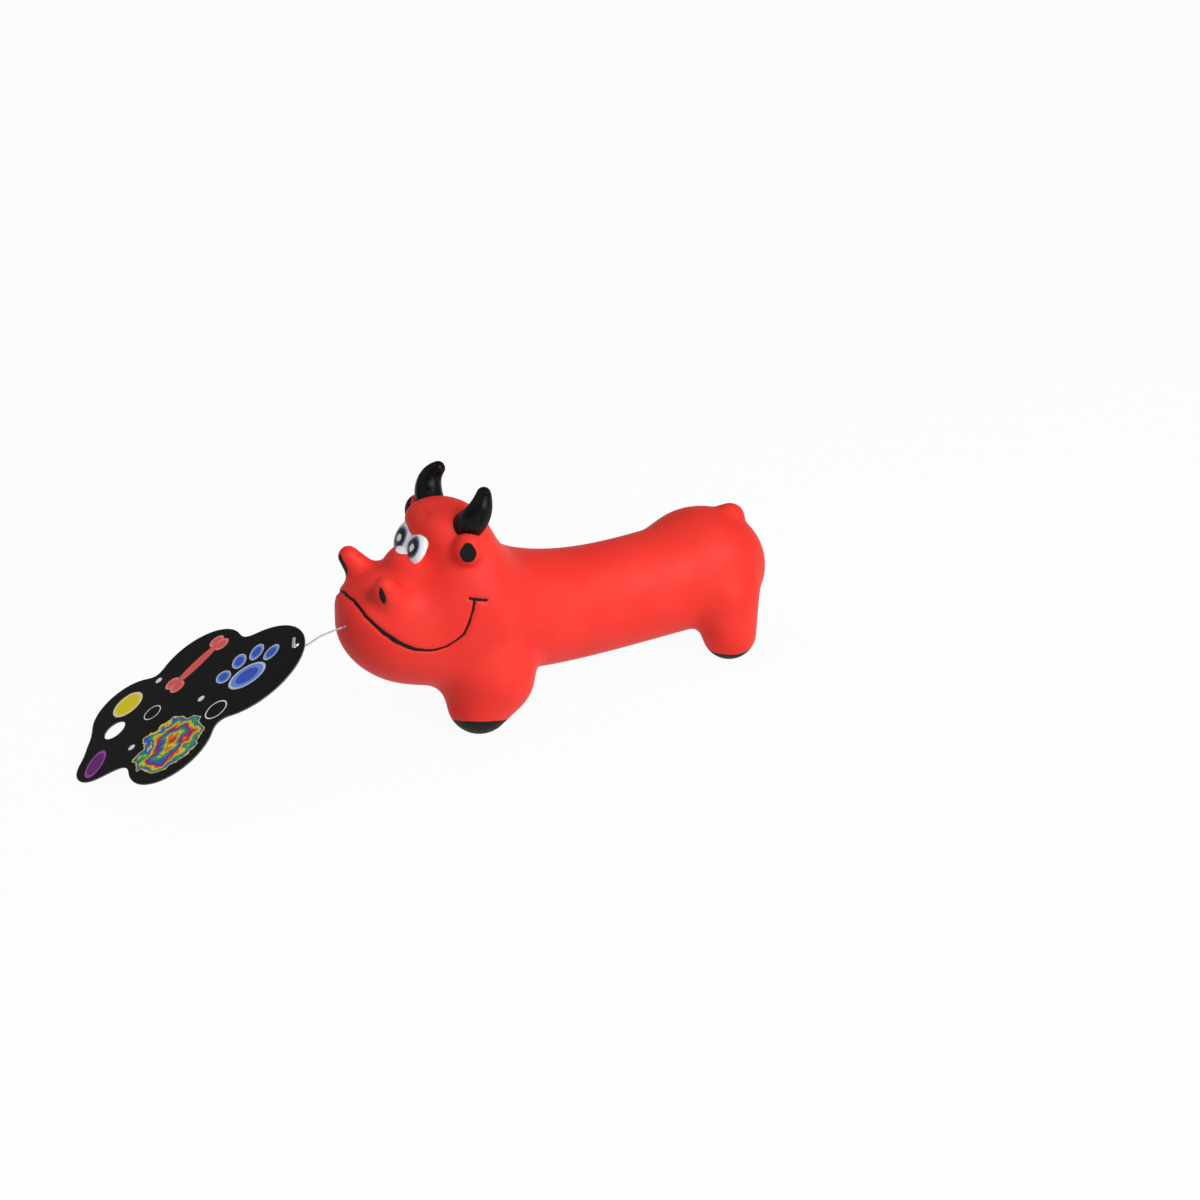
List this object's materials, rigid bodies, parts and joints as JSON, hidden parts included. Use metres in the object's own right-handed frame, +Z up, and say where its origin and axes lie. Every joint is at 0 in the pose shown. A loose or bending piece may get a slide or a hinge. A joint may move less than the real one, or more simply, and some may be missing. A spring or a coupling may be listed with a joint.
{
  "type": "squeaky dog toy",
  "caption": "Red latex bull squeaky toy for dogs, standing on four hooves, with a fibre filling, a bellows squeaker, and a black card tag on a nylon pin in its lower lip.",
  "frame": {"origin": "middle of the footprint of the toy with its tag, on the surface that the hooves stand on", "axes": "+X from the muzzle to the rump, +Y to the animal's right side, +Z up"},
  "size_m": [0.2972, 0.102, 0.1046],
  "materials": {
    "red_latex": "moulded latex, matt, dyed red",
    "black_paint": "latex with brushed black paint, glossy",
    "white_paint": "latex with white paint",
    "fibre": "loose polyester fibre",
    "polyethylene": "blow-moulded and moulded polyethylene",
    "nylon": "clear moulded nylon",
    "card": "printed and varnished black card"
  },
  "bodies": {
    "toy": {"torso_skin": "red_latex", "head_skin": "red_latex", "front_left_leg": "red_latex", "front_right_leg": "red_latex", "rear_left_leg": "red_latex", "rear_right_leg": "red_latex", "front_left_hoof": "black_paint", "front_right_hoof": "black_paint", "rear_left_hoof": "black_paint", "rear_right_hoof": "black_paint", "left_horn": "black_paint", "right_horn": "black_paint", "left_ear": "red_latex", "right_ear": "red_latex", "left_nostril": "red_latex", "right_nostril": "red_latex", "left_eye": "white_paint", "right_eye": "white_paint", "tail_knob": "red_latex", "belly_plug": "red_latex", "body_filling": "fibre", "head_filling": "fibre", "squeaker_bulb": "polyethylene", "squeaker_nozzle": "polyethylene", "squeaker_reed_cap": "polyethylene", "pin_anchor": "nylon"},
    "crown": {"squeaker_crown": "polyethylene"},
    "reed": {"squeaker_reed": "polyethylene"},
    "pin": {"tag_pin": "nylon"},
    "card": {"tag_card": "card"}
  },
  "joints": [
    {"name": "squeeze", "type": "slide", "parent": "toy", "child": "crown", "axis": [0, 1, 0], "range_m": [0, 0.007], "stiffness_N_per_m": 700, "deforming": ["squeaker_bulb"]},
    {"name": "reed_flutter", "type": "hinge", "parent": "toy", "child": "reed", "pos_m": [0.06275, -0.00316, 0.03362], "axis": [1, 0, 0], "range_deg": [-3, 3], "stiffness_Nm_per_rad": 0.002},
    {"name": "pin_swing", "type": "hinge", "parent": "toy", "child": "pin", "pos_m": [-0.04795, -0.01816, 0.054], "axis": [0.1253, 0.9921, 0], "range_deg": [-35, 50], "stiffness_Nm_per_rad": 0.003, "springref_deg": 4.01},
    {"name": "tag_swing", "type": "hinge", "parent": "pin", "child": "card", "pos_m": [-0.06663, -0.0158, 0.04976], "axis": [0.309, 0.9511, 0], "range_deg": [-40, 18]}
  ]
}
